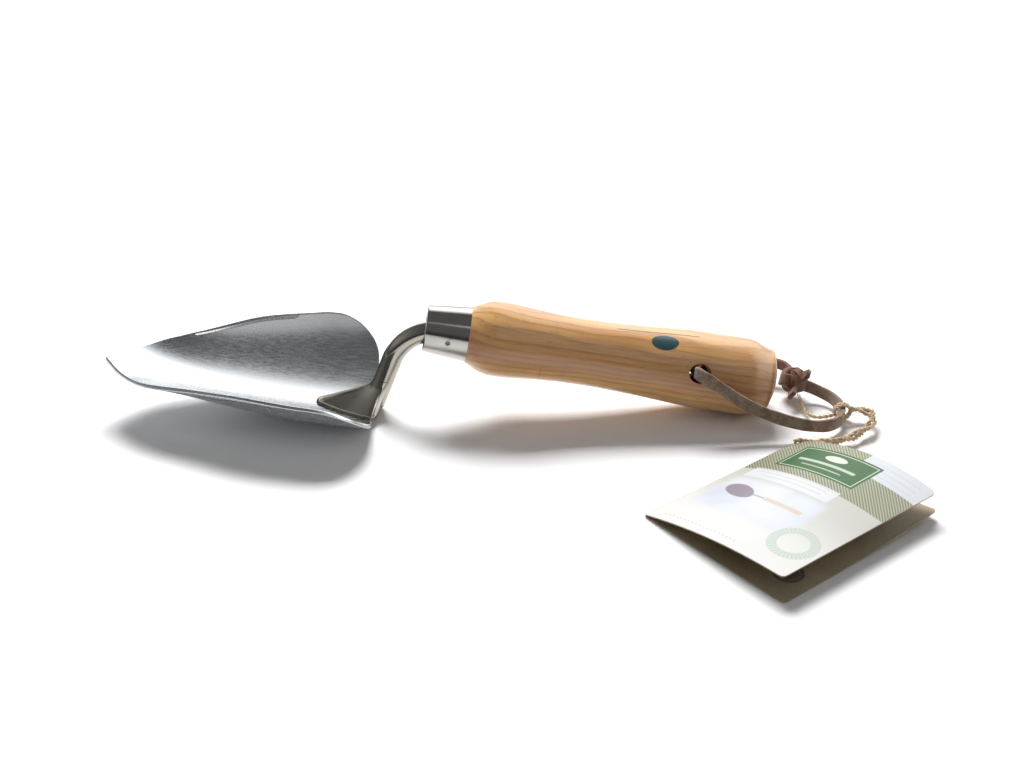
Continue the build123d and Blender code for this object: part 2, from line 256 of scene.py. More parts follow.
# ------------------------------------------------------------------ shader helpers
class Shade:
    """A material with its node tree and short ways to add to it."""

    def __init__(self, name):
        self.mat = bpy.data.materials.new(name)
        self.mat.use_nodes = True
        self.tree = self.mat.node_tree
        self.bsdf = self.tree.nodes["Principled BSDF"]

    def put(self, socket, value):
        if isinstance(value, bpy.types.NodeSocket):
            self.tree.links.new(value, socket)
        else:
            socket.default_value = value

    def set(self, **values):
        for key, value in values.items():
            self.put(self.bsdf.inputs[key.replace("_", " ")], value)

    def math(self, op, a, b=0.0, c=0.0):
        node = self.tree.nodes.new("ShaderNodeMath")
        node.operation = op
        for socket, value in zip(node.inputs, (a, b, c)):
            self.put(socket, value)
        return node.outputs[0]

    def plus(self, a, b):
        return self.math("ADD", a, b)

    def minus(self, a, b):
        return self.math("SUBTRACT", a, b)

    def times(self, a, b):
        return self.math("MULTIPLY", a, b)

    def over(self, a, b):
        return self.math("DIVIDE", a, b)

    def squares(self, a, b):
        """a squared plus b squared."""
        return self.plus(self.times(a, a), self.times(b, b))

    def coord(self):
        node = self.tree.nodes.new("ShaderNodeTexCoord")
        return node.outputs["Object"]

    def uv(self):
        node = self.tree.nodes.new("ShaderNodeTexCoord")
        split = self.tree.nodes.new("ShaderNodeSeparateXYZ")
        self.put(split.inputs[0], node.outputs["UV"])
        return split.outputs[0], split.outputs[1]

    def dot(self, vector, direction, centre=(0, 0, 0)):
        shift = self.tree.nodes.new("ShaderNodeVectorMath")
        shift.operation = "SUBTRACT"
        self.put(shift.inputs[0], vector)
        shift.inputs[1].default_value = centre
        node = self.tree.nodes.new("ShaderNodeVectorMath")
        node.operation = "DOT_PRODUCT"
        self.put(node.inputs[0], shift.outputs[0])
        node.inputs[1].default_value = direction
        return node.outputs["Value"]

    def vector(self, x, y, z):
        node = self.tree.nodes.new("ShaderNodeCombineXYZ")
        for socket, value in zip(node.inputs, (x, y, z)):
            self.put(socket, value)
        return node.outputs[0]

    def stretch(self, vector, scale):
        node = self.tree.nodes.new("ShaderNodeVectorMath")
        node.operation = "MULTIPLY"
        self.put(node.inputs[0], vector)
        node.inputs[1].default_value = scale
        return node.outputs[0]

    def noise(self, vector, scale, detail=3.0, rough=0.5, distort=0.0):
        node = self.tree.nodes.new("ShaderNodeTexNoise")
        self.put(node.inputs["Vector"], vector)
        node.inputs["Scale"].default_value = scale
        node.inputs["Detail"].default_value = detail
        node.inputs["Roughness"].default_value = rough
        node.inputs["Distortion"].default_value = distort
        return node.outputs["Fac"]

    def remap(self, value, low, high, out_low=0.0, out_high=1.0):
        node = self.tree.nodes.new("ShaderNodeMapRange")
        node.interpolation_type = "SMOOTHSTEP"
        for socket, item in zip(node.inputs, (value, low, high, out_low, out_high)):
            self.put(socket, item)
        return node.outputs[0]

    def mix(self, share, first, second):
        node = self.tree.nodes.new("ShaderNodeMix")
        node.data_type = "RGBA"
        self.put(node.inputs[0], share)
        for socket, item in ((node.inputs[6], first), (node.inputs[7], second)):
            self.put(socket, (*item, 1) if isinstance(item, tuple) and len(item) == 3 else item)
        return node.outputs[2]

    def bump(self, height, strength, distance):
        node = self.tree.nodes.new("ShaderNodeBump")
        node.inputs["Strength"].default_value = strength
        node.inputs["Distance"].default_value = distance
        self.put(node.inputs["Height"], height)
        self.put(self.bsdf.inputs["Normal"], node.outputs[0])

    def inside(self, value, low, high, soft):
        """1 between low and high, with soft edges."""
        a = self.remap(value, low - soft, low + soft)
        b = self.remap(value, high - soft, high + soft, 1.0, 0.0)
        return self.times(a, b)


# ------------------------------------------------------------------ materials
def steel(name, base, rough, brush_axis, grain, depth):
    s = Shade(name)
    stretch = {"x": (16, 1500, 1500), "z": (300, 300, 8), "round": (90, 90, 90)}[brush_axis]
    lines = s.noise(s.stretch(s.coord(), stretch), 1.0, 4.0, 0.65)
    smear = s.noise(s.coord(), 28.0, 3.0, 0.5)
    tone = s.plus(s.times(lines, 0.82), s.times(smear, 0.18))
    dark = tuple(c * (1 - grain) for c in base)
    s.set(Metallic=1.0, Base_Color=s.mix(s.remap(tone, 0.3, 0.7), dark, base),
          Roughness=s.remap(tone, 0.25, 0.75, rough * 0.75, rough * 1.35))
    s.bump(lines, depth, 0.0001)
    return s.mat


def wood():
    s = Shade("lacquered ash")
    where = s.coord()
    along = s.dot(where, tuple(AXIS), tuple(COLLAR * MM))
    up = s.dot(where, tuple(UP), tuple(COLLAR * MM))
    side = s.dot(where, (0, 1, 0))
    flow = s.noise(s.vector(s.times(along, 9.0), s.times(side, 40.0),
                            s.times(up, 40.0)), 1.0, 2.0, 0.5)
    height = s.plus(s.times(up, 1.0), s.times(side, 0.45))
    layer = s.plus(s.times(height, 330.0), s.times(flow, 7.0))
    ring = s.math("FRACT", layer)
    latewood = s.times(s.remap(ring, 0.35, 0.86), s.remap(ring, 0.9, 1.0, 1.0, 0.0))
    fibre = s.noise(s.vector(s.times(along, 60.0), s.times(side, 1500.0),
                             s.times(up, 1500.0)), 1.0, 3.0, 0.6)
    pore = s.noise(s.vector(s.times(along, 160.0), s.times(side, 2600.0),
                            s.times(up, 2600.0)), 1.0, 1.0, 0.5)
    pores = s.remap(pore, 0.64, 0.72)
    patch = s.noise(s.vector(s.times(along, 14.0), s.times(side, 60.0),
                             s.times(up, 60.0)), 1.0, 2.0, 0.5)
    colour = s.mix(s.remap(patch, 0.35, 0.7), (0.68, 0.385, 0.15), (0.50, 0.235, 0.08))
    colour = s.mix(s.times(latewood, 0.5), colour, (0.27, 0.115, 0.035))
    colour = s.mix(s.remap(fibre, 0.35, 0.75, 0.0, 0.35), colour, (0.68, 0.42, 0.19))
    colour = s.mix(s.times(pores, 0.45), colour, (0.22, 0.09, 0.035))
    # a reddish streak at mid height, and a hairline round the front shoulder
    streak = s.times(s.inside(up, -0.0045, 0.0035, 0.003), s.remap(flow, 0.4, 0.6))
    colour = s.mix(s.times(streak, 0.5), colour, (0.30, 0.10, 0.035))
    hairline = s.times(s.inside(along, 0.0306, 0.0309, 0.0001), s.remap(up, 0.0, -0.004))
    colour = s.mix(s.times(hairline, 0.6), colour, (0.2, 0.09, 0.04))
    # plain painted oval and pinstripe near the top
    across = s.over(s.plus(side, 0.0066), 0.0034)
    length = s.over(s.minus(along, 0.0795), 0.0058)
    reach = s.squares(across, length)
    oval = s.times(s.remap(reach, 0.85, 1.05, 1.0, 0.0), s.remap(up, 0.0, 0.002))
    colour = s.mix(oval, colour, (0.006, 0.040, 0.045))
    stripe = s.inside(side, -0.0021, -0.0014, 0.0001)
    stripe = s.times(stripe, s.inside(along, 0.06, 0.094, 0.0004))
    stripe = s.times(stripe, s.remap(up, 0.0, 0.002))
    colour = s.mix(s.times(stripe, 0.8), colour, (0.05, 0.035, 0.02))
    # the inside of the hanging hole is painted near black as painted shade in the bore, and the bare wood
    # there is left rough and without lacquer
    bore = s.dot(where, tuple(AXIS), tuple(HOLE_CENTRE * MM))
    rise = s.dot(where, tuple(HOLE.cross(AXIS)), tuple(HOLE_CENTRE * MM))
    far = s.math("SQRT", s.squares(bore, rise))
    colour = s.mix(s.remap(far, 0.0039, 0.0044, 0.85, 0.0), colour, (0.06, 0.025, 0.01))
    rough = s.math("MAXIMUM", s.remap(fibre, 0.3, 0.7, 0.36, 0.5), s.remap(far, 0.0040, 0.0046, 0.95, 0.3))
    lacquer = s.remap(far, 0.0040, 0.0046, 0.0, 0.75)
    s.set(Base_Color=colour, Roughness=rough, Coat_Weight=lacquer, Coat_Roughness=0.17, Coat_IOR=1.45)
    s.bump(s.plus(fibre, s.times(pores, -1.2)), 0.12, 0.0002)
    return s.mat


def leather(name, face, edge):
    s = Shade(name)
    where = s.coord()
    nap = s.noise(where, 2600.0, 3.0, 0.65)
    cloud = s.noise(where, 260.0, 3.0, 0.55)
    fleck = s.noise(where, 1500.0, 1.0, 0.5)
    colour = s.mix(s.remap(cloud, 0.3, 0.7), edge, face)
    colour = s.mix(s.remap(fleck, 0.62, 0.72, 0.0, 0.55), colour, tuple(min(1, c * 2.1) for c in face))
    colour = s.mix(s.remap(nap, 0.62, 0.42, 0.0, 0.45), colour, tuple(c * 0.4 for c in edge))
    s.set(Base_Color=colour, Roughness=0.82, Sheen_Weight=0.35, Sheen_Roughness=0.5)
    s.bump(s.plus(nap, s.times(cloud, 1.5)), 0.55, 0.0003)
    return s.mat


def jute():
    s = Shade("jute")
    where = s.coord()
    fine = s.noise(where, 3200.0, 2.0, 0.6)
    cloud = s.noise(where, 420.0, 2.0, 0.5)
    colour = s.mix(s.remap(cloud, 0.3, 0.7), (0.52, 0.37, 0.21), (0.80, 0.63, 0.43))
    colour = s.mix(s.remap(fine, 0.35, 0.55, 0.5, 0.0), colour, (0.34, 0.21, 0.10))
    s.set(Base_Color=colour, Roughness=0.85, Sheen_Weight=0.3, Sheen_Roughness=0.5)
    s.bump(fine, 0.6, 0.0003)
    return s.mat


def card_inside():
    s = Shade("card inside")
    where = s.coord()
    fibre = s.noise(where, 900.0, 4.0, 0.6)
    cloud = s.noise(where, 40.0, 2.0, 0.5)
    u, v = s.uv()
    tone = s.plus(s.times(fibre, 0.5), s.times(cloud, 0.5))
    colour = s.mix(s.remap(tone, 0.3, 0.7), (0.31, 0.255, 0.17), (0.42, 0.355, 0.25))
    du = s.minus(u, 0.585)
    dv = s.minus(v, 0.70)
    far = s.math("SQRT", s.squares(du, dv))
    dot = s.inside(far, -1.0, 0.058, 0.002)
    colour = s.mix(s.times(dot, 0.75), colour, (0.06, 0.055, 0.05))
    ring = s.inside(far, 0.040, 0.044, 0.001)
    colour = s.mix(s.times(ring, 0.5), colour, (0.4, 0.36, 0.3))
    s.set(Base_Color=colour, Roughness=0.55)
    s.bump(fibre, 0.15, 0.0001)
    return s.mat


def card_front():
    """Printed face. u runs from the fold, v from the twine's end, both in tenths of a metre."""
    s = Shade("printed card")
    u, v = s.uv()
    where = s.coord()
    fibre = s.noise(where, 1100.0, 3.0, 0.6)
    soft = s.noise(where, 45.0, 2.0, 0.5)
    colour = s.mix(s.remap(v, 0.35, 0.75), (0.50, 0.495, 0.455), (0.68, 0.68, 0.665))
    # woven band: fine slanting threads in two tones
    slant = s.minus(s.times(u, 66.0), s.times(v, 68.0))
    thread = s.math("SINE", s.times(slant, 6.2832))
    cross = s.math("SINE", s.times(s.minus(u, s.times(v, 1.6)), 900.0))
    weave = s.plus(s.times(thread, 0.42), s.times(cross, 0.08))
    woven = s.mix(s.plus(weave, 0.5), (0.085, 0.10, 0.05), (0.42, 0.42, 0.31))
    colour = s.mix(s.inside(v, -1.0, 0.315, 0.002), colour, woven)
    # white label in the corner
    label = s.times(s.inside(u, 0.375, 2.0, 0.004), s.inside(v, -1.0, 0.135, 0.004))
    colour = s.mix(s.times(label, 0.92), colour, (0.62, 0.64, 0.68))
    rules = s.math("SINE", s.times(v, 190.0))
    rules = s.times(s.remap(rules, 0.86, 0.96), s.inside(u, 0.43, 0.64, 0.004))
    rules = s.times(rules, s.inside(v, 0.03, 0.11, 0.003))
    colour = s.mix(s.times(rules, 0.35), colour, (0.3, 0.33, 0.34))
    # green panel with a pale keyline, plain leaf and rule
    panel = s.times(s.inside(u, 0.10, 0.475, 0.0012), s.inside(v, 0.055, 0.25, 0.0012))
    inner = s.times(s.inside(u, 0.111, 0.464, 0.001), s.inside(v, 0.066, 0.239, 0.001))
    heart = s.times(s.inside(u, 0.115, 0.460, 0.001), s.inside(v, 0.070, 0.235, 0.001))
    colour = s.mix(panel, colour, (0.012, 0.080, 0.012))
    colour = s.mix(inner, colour, (0.55, 0.66, 0.50))
    colour = s.mix(heart, colour, (0.012, 0.080, 0.012))
    eu = s.over(s.minus(u, 0.29), 0.052)
    ev = s.over(s.minus(v, 0.112), 0.022)
    oval = s.remap(s.squares(eu, ev), 0.9, 1.1, 1.0, 0.0)
    colour = s.mix(oval, colour, (0.60, 0.64, 0.54))
    for low, high, left, right, share in ((0.155, 0.172, 0.15, 0.42, 0.7), (0.196, 0.203, 0.19, 0.38, 0.6)):
        bar = s.times(s.inside(v, low, high, 0.002), s.inside(u, left, right, 0.003))
        colour = s.mix(s.times(bar, share), colour, (0.62, 0.70, 0.58))
    # pale title strip and faded picture
    strip = s.times(s.inside(u, 0.06, 0.47, 0.004), s.inside(v, 0.30, 0.385, 0.004))
    colour = s.mix(s.times(strip, 0.8), colour, (0.66, 0.67, 0.70))
    words = s.times(s.inside(v, 0.325, 0.332, 0.0012), s.inside(u, 0.09, 0.43, 0.004))
    more_words = s.times(s.inside(v, 0.352, 0.360, 0.0012), s.inside(u, 0.14, 0.42, 0.004))
    words = s.plus(words, more_words)
    colour = s.mix(s.times(words, 0.3), colour, (0.3, 0.33, 0.32))
    picture = s.times(s.inside(u, 0.05, 0.50, 0.03), s.inside(v, 0.40, 0.66, 0.03))
    sky = s.mix(s.remap(soft, 0.3, 0.7), (0.52, 0.56, 0.66), (0.66, 0.68, 0.73))
    colour = s.mix(s.times(picture, 0.85), colour, sky)
    bu = s.over(s.minus(u, 0.155), 0.072)
    bv = s.over(s.minus(v, s.plus(0.505, s.times(bu, 0.014))), 0.046)
    spade = s.remap(s.squares(bu, bv), 0.9, 1.08, 1.0, 0.0)
    colour = s.mix(s.times(spade, 0.85), colour, (0.20, 0.16, 0.20))
    neck_bar = s.times(s.inside(v, 0.503, 0.512, 0.001), s.inside(u, 0.225, 0.28, 0.002))
    colour = s.mix(s.times(neck_bar, 0.8), colour, (0.3, 0.29, 0.31))
    grip_bar = s.times(s.inside(v, 0.496, 0.520, 0.003), s.inside(u, 0.28, 0.46, 0.004))
    colour = s.mix(s.times(grip_bar, 0.75), colour, (0.56, 0.45, 0.31))
    # ring seal and a dotted rule along the bottom edge
    du = s.minus(u, 0.565)
    dv = s.minus(v, 0.665)
    far = s.math("SQRT", s.squares(du, dv))
    ring = s.inside(far, 0.060, 0.098, 0.002)
    teeth = s.math("SINE", s.times(s.math("ARCTAN2", dv, du), 36.0))
    colour = s.mix(s.times(ring, s.remap(teeth, -0.6, 0.6, 0.45, 0.8)), colour, (0.42, 0.50, 0.42))
    dots = s.remap(s.math("SINE", s.times(u, 330.0)), 0.0, 0.5)
    dots = s.times(s.times(dots, s.inside(v, 0.795, 0.803, 0.001)), s.inside(u, 0.05, 0.42, 0.003))
    colour = s.mix(s.times(dots, 0.4), colour, (0.3, 0.3, 0.26))
    s.set(Base_Color=colour, Roughness=s.remap(fibre, 0.3, 0.7, 0.38, 0.44))
    s.bump(fibre, 0.02, 0.0001)
    return s.mat


BLADE_STEEL = steel("brushed steel", (0.57, 0.585, 0.60), 0.25, "x", 0.09, 0.07)
NECK_STEEL = steel("polished steel", (0.40, 0.38, 0.33), 0.10, "round", 0.16, 0.06)
WELD_STEEL = steel("weld bead", (0.34, 0.31, 0.26), 0.34, "round", 0.45, 1.0)
FERRULE_STEEL = steel("ferrule steel", (0.47, 0.455, 0.435), 0.12, "round", 0.14, 0.10)
PIN_STEEL = steel("pin", (0.22, 0.21, 0.2), 0.4, "round", 0.3, 0.4)
WOOD = wood()
# the same lace twice: the near leg in its own colour, and a darker copy below that is painted shade, used for
# the far leg, the knot and the cut ends
LEATHER = leather("suede lace", (0.33, 0.245, 0.18), (0.20, 0.125, 0.08))
SHADED_LACE = leather("lace in painted shade", (0.25, 0.125, 0.075), (0.12, 0.05, 0.03))
JUTE = jute()
CARD_INSIDE = card_inside()
CARD_FRONT = card_front()


def paint(node, material):
    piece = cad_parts[node]
    piece.data.materials.clear()
    piece.data.materials.append(material)


paint("weld_bead", WELD_STEEL)
paint("ferrule", FERRULE_STEEL)
paint("ferrule_pin", PIN_STEEL)
paint("handle", WOOD)


# ------------------------------------------------------------------ blade
def keel(x):
    run = HEEL_X - x
    eased = 0.5 * (run + math.sqrt(run * run + HEEL_EASE * HEEL_EASE))
    return KEEL_SLOPE * eased + KEEL_CURL * run * run


def raw_radius(x):
    for (x0, r0), (x1, r1) in zip(CROSS_RADII, CROSS_RADII[1:]):
        if x <= x1:
            return r0 + (r1 - r0) * (x - x0) / (x1 - x0)
    return CROSS_RADII[-1][1]


def cross_radius(x):
    """The listed radii, smoothed over 16 mm."""
    weights = [1, 2, 3, 4, 5, 4, 3, 2, 1]
    return sum(w * raw_radius(x + 2.0 * (k - 4)) for k, w in enumerate(weights)) / sum(weights)


def dish(x, y):
    radius = cross_radius(x)
    return keel(x) + SHEET + radius - math.sqrt(radius * radius - y * y)


def dish_normal(x, y):
    step = 0.4
    slope_x = (dish(x + step, y) - dish(x - step, y)) / (2 * step)
    slope_y = (dish(x, y + step) - dish(x, y - step)) / (2 * step)
    return Vector((-slope_x, -slope_y, 1)).normalized()


# how far each ring round the rim lies inside the outline, and under the upper face
RIM_ROUND = [
    (0.9, 0.0), (0.45, 0.03), (0.16, 0.17), (0.03, 0.45), (0.0, 0.9), (0.03, 1.35), (0.16, 1.63),
    (0.45, 1.77), (0.9, SHEET),
]
SPOKE_HUB = Vector((-74.0, 0, 0))
SPOKE_STEPS = 46


def build_blade():
    half = [Vector((x, y, 0)) for x, y in RIM]
    loop = half + [Vector((p.x, -p.y, 0)) for p in reversed(half[1:-1])]
    outline = spline_through(loop, 12, closed=True)
    shares = [0.015] + [k / SPOKE_STEPS for k in range(1, SPOKE_STEPS)]

    def ring(share, inset, sink):
        out = []
        for p in outline:
            spoke = p - SPOKE_HUB
            q = SPOKE_HUB + spoke * share - spoke.normalized() * inset
            top = Vector((q.x, q.y, dish(q.x, q.y)))
            out.append(top - dish_normal(q.x, q.y) * sink)
        return out

    rings = [ring(s, 0.0, 0.0) for s in shares]
    rings += [ring(1.0, inset, sink) for inset, sink in RIM_ROUND]
    rings += [ring(s, 0.0, SHEET) for s in reversed(shares)]
    verts = [v for r in rings for v in r]
    faces = skin(rings)
    piece = new_piece("blade_dish", verts, faces, "trowel", BLADE_STEEL)
    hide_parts("blade")


build_blade()


# ------------------------------------------------------------------ neck and its fish-tail foot
def arc_path():
    """Rod centreline from inside the grip, round the crank, to the foot."""
    into = (CRANK - COLLAR).normalized()
    down = (ROD_FOOT - CRANK).normalized()
    turn = into.angle(down)
    reach = CRANK_RADIUS * math.tan(turn / 2)
    start = CRANK - into * reach
    inward = (down - into * down.dot(into)).normalized()
    path = [COLLAR + into * (k * 0.9) for k in range(int((start - COLLAR).length / 0.9))]
    steps = 44
    for k in range(steps + 1):
        a = turn * k / steps
        path.append(start + into * (CRANK_RADIUS * math.sin(a)) + inward * (CRANK_RADIUS * (1 - math.cos(a))))
    end = path[-1]
    last = ROD_FOOT.lerp(CRANK, 0.17)
    path += [end.lerp(last, k / 12) for k in range(1, 13)]
    return path


FOOT_PLAN = [
    (-52.2, 0), (-41.0, 5.9), (-30.2, 14.9), (-27.0, 8.0), (-26.9, -8.0), (-30.2, -14.9), (-41.0, -5.9),
]


def build_neck():
    rod = tube_rings(arc_path(), ROD_RADIUS, 56)
    outline = spline_through([(x, y, 0) for x, y in FOOT_PLAN], 24, closed=True)
    hub = Vector((-31.0, 0, 0))
    count = 72
    angles = sorted((math.atan2(p.y, p.x - hub.x) % (2 * math.pi), (p - hub).length) for p in outline)
    before = (angles[-1][0] - 2 * math.pi, angles[-1][1])
    after = (angles[0][0] + 2 * math.pi, angles[0][1])
    angles = [before] + angles + [after]
    base = []
    for k in range(count):
        t = 2 * math.pi * k / count
        for (a0, r0), (a1, r1) in zip(angles, angles[1:]):
            if a0 <= t <= a1:
                reach = r0 + (r1 - r0) * (t - a0) / (a1 - a0)
                break
        x, y = hub.x + reach * math.cos(t), reach * math.sin(t)
        base.append(Vector((x, y, dish(min(x, -24.5), y) - 0.25)))
    down = (ROD_FOOT - CRANK).normalized()
    crown_z = 15.5
    crown = CRANK + down * ((crown_z - CRANK.z) / down.z)
    rings = []
    levels = 22
    for step in range(levels + 1):
        h = step / levels
        spread = (1 - h) ** 2.3
        ring = []
        for k, b in enumerate(base):
            t = 2 * math.pi * k / count
            z = b.z + (crown.z - b.z) * h
            middle = CRANK + down * ((z - CRANK.z) / down.z)
            core = middle + Vector((ROD_RADIUS * 1.06 * math.cos(t), ROD_RADIUS * 1.0 * math.sin(t), 0))
            ring.append(Vector((core.x + (b.x - core.x) * spread, core.y + (b.y - core.y) * spread, z)))
        rings.append(ring)
    verts = [v for r in rod for v in r]
    faces = skin(rod)
    faces += skin(rings, base=len(verts))
    verts += [v for r in rings for v in r]
    piece = new_piece("neck_rod", verts, faces, "trowel", NECK_STEEL)
    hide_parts("neck")


build_neck()

# ------------------------------------------------------------------ leather thong
NEAR_LEAD = Vector((0.857, -0.185, -0.481))
FAR_LEAD = Vector((1, 0, 0))
NEAR_ROUTE = [
    HOLE_CENTRE,
    HOLE_CENTRE + HOLE * 6.2 - NEAR_LEAD * 0.5,
    HOLE_CENTRE + HOLE * 12.6 - NEAR_LEAD * 0.6,
    HOLE_CENTRE + HOLE * 18.9 - NEAR_LEAD * 1.2,
    HOLE_CENTRE + HOLE * 19.2 + NEAR_LEAD * 7.0,
    Vector((124.0, -22.2, 14.4)),
    Vector((140.5, -24.8, 8.4)),
    Vector((156.5, -23.8, 4.8)),
    Vector((166.3, -15.6, 4.4)),
    Vector((166.6, -1.6, 4.4)),
    Vector((158.2, 8.6, 5.2)),
    KNOT,
]
FAR_ROUTE = [
    HOLE_CENTRE,
    HOLE_CENTRE - HOLE * 6.2 + NEAR_LEAD * 0.5,
    HOLE_CENTRE - HOLE * 12.6 - FAR_LEAD * 0.2,
    HOLE_CENTRE - HOLE * 18.9 - FAR_LEAD * 1.2,
    HOLE_CENTRE - HOLE * 19.6 + FAR_LEAD * 7.0,
    Vector((125.5, 23.2, 10.9)),
    Vector((139.5, 25.8, 9.6)),
    Vector((149.5, 20.4, 8.9)),
    KNOT,
]


def build_thong():
    near_line = resample(nurbs_line(NEAR_ROUTE), 0.8)
    far_line = resample(nurbs_line(FAR_ROUTE), 0.8)

    near_rings = strap_rings(near_line, (0.12, 0.35, 0.93), 2.45, 1.0, 0.04, 0.4)
    far_rings = strap_rings(far_line, (0.1, -0.3, 0.95), 2.35, 1.0, 0.04, 1.7)
    near = joined("lace_near", [near_rings], "thong", LEATHER)
    # the far leg takes the darker lace copy, painted shade
    far = joined("lace_far", [far_rings], "thong", SHADED_LACE)
    # overhand knot: the lace lies in wide turns over its own core
    bands = []
    for axis, reach, shift, seed in (
        ((0.95, 0.25, 0.15), 4.3, (0.6, 0.0, 0.1), 0.4),
        ((0.25, 0.35, 0.9), 4.5, (-0.3, 0.3, -0.5), 1.3),
        ((0.35, -0.85, 0.4), 4.2, (0.0, 0.5, 0.4), 2.2),
        ((0.7, 0.6, -0.4), 3.9, (0.2, -0.5, 0.2), 3.1),
    ):
        axis = Vector(axis).normalized()
        one = axis.orthogonal().normalized()
        two = axis.cross(one)
        turn_line = []
        for k in range(61):
            t = 2 * math.pi * k / 60
            lift = 0.9 * math.sin(2 * t + seed)
            turn_line.append(KNOT + Vector(shift) + one * (reach * math.cos(t)) + two * (reach * math.sin(t))
                             + axis * lift)
        bands.append(strap_rings(turn_line, axis, 2.2, 1.05, 0.06, seed))
    core = tube_rings([KNOT + Vector((0, 0, z)) for z in (-3.6, -3.0, -1.5, 0, 1.5, 3.0, 3.6)],
                      lambda k: (1.2, 2.6, 3.7, 4.1, 3.7, 2.6, 1.2)[k], 24)
    # the knot takes the darker lace copy, painted shade
    knot = joined("lace_knot", bands + [core], "thong", SHADED_LACE)
    ends = []
    for seed, drift in ((0.3, (-1.8, -9.2, -1.8)), (2.1, (5.6, -3.4, 5.4))):
        drift = Vector(drift)
        start = KNOT + drift * 0.25
        sag = Vector((0.5, 0.3, -0.5))
        line = resample(nurbs_line([start, start + drift * 0.4 + sag, start + drift * 0.78]), 0.6)
        ends.append(strap_rings(line, (0.6, 0.2, 0.8), 2.2, 0.95, 0.05, seed))
    # the cut ends take the darker lace copy, painted shade
    stubs = joined("lace_ends", ends, "thong", SHADED_LACE)
    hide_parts("thong_near")
    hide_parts("thong_far")
    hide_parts("thong_knot")
    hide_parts("thong_ends")


build_thong()

# ------------------------------------------------------------------ jute twine
TWINE_ROUTE = [
    TAG_CORNER + SPINE * 3.2 + ACROSS * 1.6 + Vector((0, 0, CARD + 1.65)),
    Vector((148.2, -29.6, 2.3)),
    Vector((155.4, -32.0, 2.6)),
    Vector((164.0, -30.2, 3.0)),
    Vector((172.0, -25.0, 3.6)),
    Vector((179.2, -17.0, 4.6)),
    Vector((176.4, -8.8, 5.4)),
    Vector((169.4, -9.6, 5.4)),
]
TAIL_ROUTE = [
    Vector((163.6, -10.2, 3.4)),
    Vector((157.8, -11.6, 2.2)),
    Vector((152.6, -8.2, 1.9)),
    Vector((151.2, -2.4, 2.5)),
    Vector((150.6, 1.6, 4.4)),
]
WRAPS = 3                   # turns of the twine round the lace
WRAP_RADIUS = 3.4
WRAP_SPAN = 3.0
WRAP_STEPS = 120
FRAYED_THREADS = 7


def two_ply(line, reach, thread, pitch, phase=0.0):
    """Two threads laid round each other along line."""
    turns = (phase, phase + math.pi)
    return [tube_rings(ply_line(line, reach, pitch, turn, 0.12), thread, 8) for turn in turns]


def fibres(name, line, count, reach, length):
    """Loose hairs that stand off the twine."""
    dirs, across = carried_frames(line)
    tubes = []
    for _ in range(count):
        k = random.randrange(2, len(line) - 2)
        angle = random.uniform(0, 2 * math.pi)
        out = across[k] * math.cos(angle) + dirs[k].cross(across[k]) * math.sin(angle)
        start = line[k] + out * reach * 0.7
        lean = dirs[k] * random.choice((-1, 1)) * random.uniform(0.4, 1.2)
        size = length * random.uniform(0.5, 1.4)
        middle = start + (out * 0.6 + lean) * size * 0.5
        tip = start + (out * random.uniform(0.5, 1.1) + lean * 1.2) * size
        for p in (middle, tip):
            p.z = max(p.z, 0.15)
        hair = [start.lerp(middle, j / 3).lerp(middle.lerp(tip, j / 3), j / 3) for j in range(4)]
        tubes.append(tube_rings(hair, 0.045, 3))
    return joined(name, tubes, "tag", JUTE)


def build_twine():
    line = resample(nurbs_line(TWINE_ROUTE), 0.5)
    tubes = []
    for side in (0.0, math.pi):
        strand = ply_line(line, 0.95, 26.0, side, 0.25)
        tubes += two_ply(strand, 0.46, 0.52, 4.6, side)
    twine = joined("twine_loop", tubes, "tag", JUTE)
    hitch_line = []
    for k in range(WRAP_STEPS + 1):
        share = k / WRAP_STEPS
        a = 2 * math.pi * WRAPS * share
        place = (WRAP_RADIUS * math.cos(a), (share - 0.5) * WRAP_SPAN, WRAP_RADIUS * math.sin(a))
        hitch_line.append(HITCH + Vector(place))
    hitch = joined("twine_wraps", two_ply(hitch_line, 0.26, 0.36, 3.0), "tag", JUTE)
    tail_line = resample(nurbs_line(TAIL_ROUTE), 0.5)
    tail_tubes = two_ply(tail_line[:-12], 0.36, 0.40, 4.4)
    for _ in range(FRAYED_THREADS):
        drift = Vector((random.uniform(-1.2, 1.2), random.uniform(0, 1.5), random.uniform(-0.6, 1.6)))
        thread = [p + drift * (j / 16) ** 1.5 for j, p in enumerate(tail_line[-17:])]
        tail_tubes.append(tube_rings(thread, 0.16, 5))
    tail = joined("twine_end", tail_tubes, "tag", JUTE)
    fuzz = fibres("twine_fuzz", line, 260, 1.5, 2.0)
    tail_fuzz = fibres("tail_fuzz", tail_line, 90, 0.8, 1.8)
    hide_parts("tag_twine")
    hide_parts("twine_hitch")
    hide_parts("twine_tail")


build_twine()

# ------------------------------------------------------------------ folded tag
LEAF_RISE = 9.2
LEAF_SAG = 6.2
FOLD_HEIGHT = CARD + 0.4
FREE_EDGE = TAG_WIDTH - 1.6
NOTCH = 4.4
ROUND = 2.0


def rounded(u, v, width):
    """The spot (u, v), drawn in where a free corner of the leaf is rounded."""
    for corner_v, inward in ((0.0, 1), (TAG_LENGTH, -1)):
        du = u - (width - ROUND)
        dv = (corner_v + inward * ROUND - v) * inward
        if du > 0 and dv > 0:
            reach = math.hypot(du, dv)
            square = max(du, dv)
            u = width - ROUND + du * square / reach
            v = corner_v + inward * (ROUND - dv * square / reach)
    return u, v


def notched(u, v):
    """The spot (u, v), pushed off the twine's notch at the end of the fold."""
    far = math.hypot(u, v)
    if far >= NOTCH:
        return u, v
    if far > 0.05:
        return u * NOTCH / far, v * NOTCH / far
    return NOTCH * 0.7, NOTCH * 0.7


